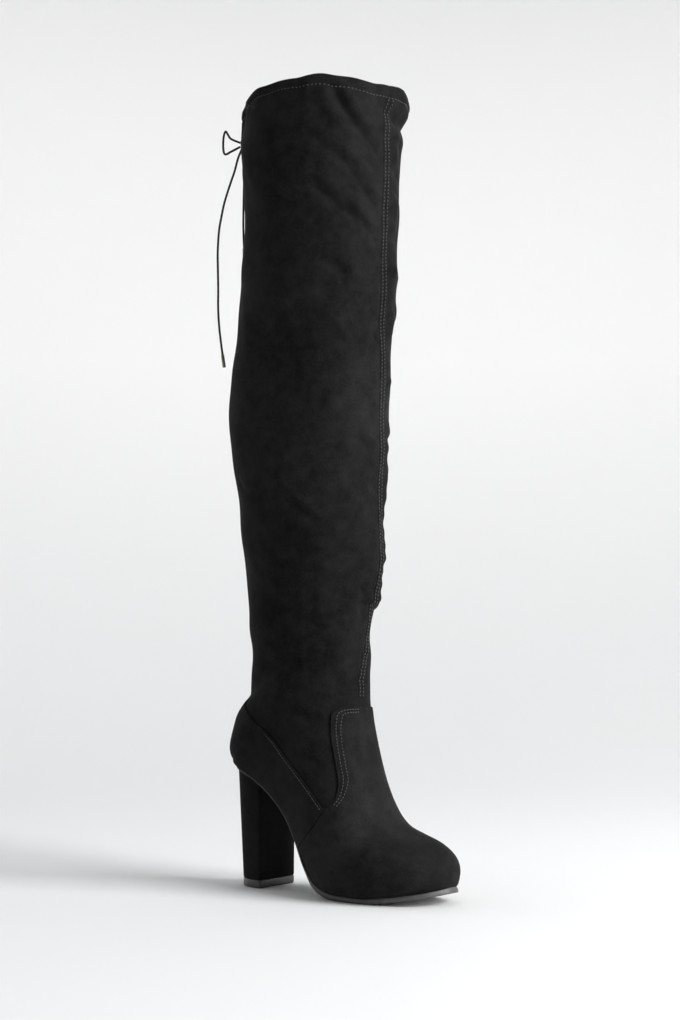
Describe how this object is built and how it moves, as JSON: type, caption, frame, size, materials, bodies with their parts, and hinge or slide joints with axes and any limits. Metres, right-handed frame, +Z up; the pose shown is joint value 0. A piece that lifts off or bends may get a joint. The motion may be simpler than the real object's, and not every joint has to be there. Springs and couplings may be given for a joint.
{
  "type": "thigh high boot",
  "caption": "Black thigh high boot for the right foot with a high block heel, inner side zip, front seam, and a drawstring bow at the back of the hemmed rim.",
  "frame": {"origin": "middle of the underside of the heel tip, on the floor", "axes": "+X towards the toe, +Z up, -Y towards the outer side of the right foot, +Y towards the inner side with the zip"},
  "size_m": [0.2237, 0.1367, 0.6709],
  "materials": {
    "suede": "soft napped black suede-like cloth",
    "sole_rubber": "satin black",
    "insole_cloth": "matt black lining cloth",
    "tip_plastic": "satin dark grey",
    "zip_cloth": "woven black tape",
    "zip_coil": "satin black coil",
    "zip_metal": "polished silver",
    "cord": "round braided black cord",
    "aglet_metal": "dark antique metal"
  },
  "bodies": {
    "boot": {"upper": "suede", "vamp": "suede", "counter": "suede", "heel": "suede", "outsole": "sole_rubber", "insole": "insole_cloth", "heel_tip": "tip_plastic", "zip_tape": "zip_cloth", "zip_teeth": "zip_coil", "zip_slider": "zip_metal", "drawstring_knot": "cord", "drawstring_loop": "cord", "drawstring_bow": "cord", "drawstring_end_long": "cord", "drawstring_end_short": "cord", "aglet_long": "aglet_metal", "aglet_short": "aglet_metal"},
    "pull": {"zip_pull": "zip_metal"}
  },
  "joints": [
    {"name": "zip_pull_hinge", "type": "hinge", "parent": "boot", "child": "pull", "pos_m": [0.0584, 0.05647, 0.27137], "axis": [0.9981, -0.0064, -0.0608], "range_deg": [0, 165]}
  ]
}
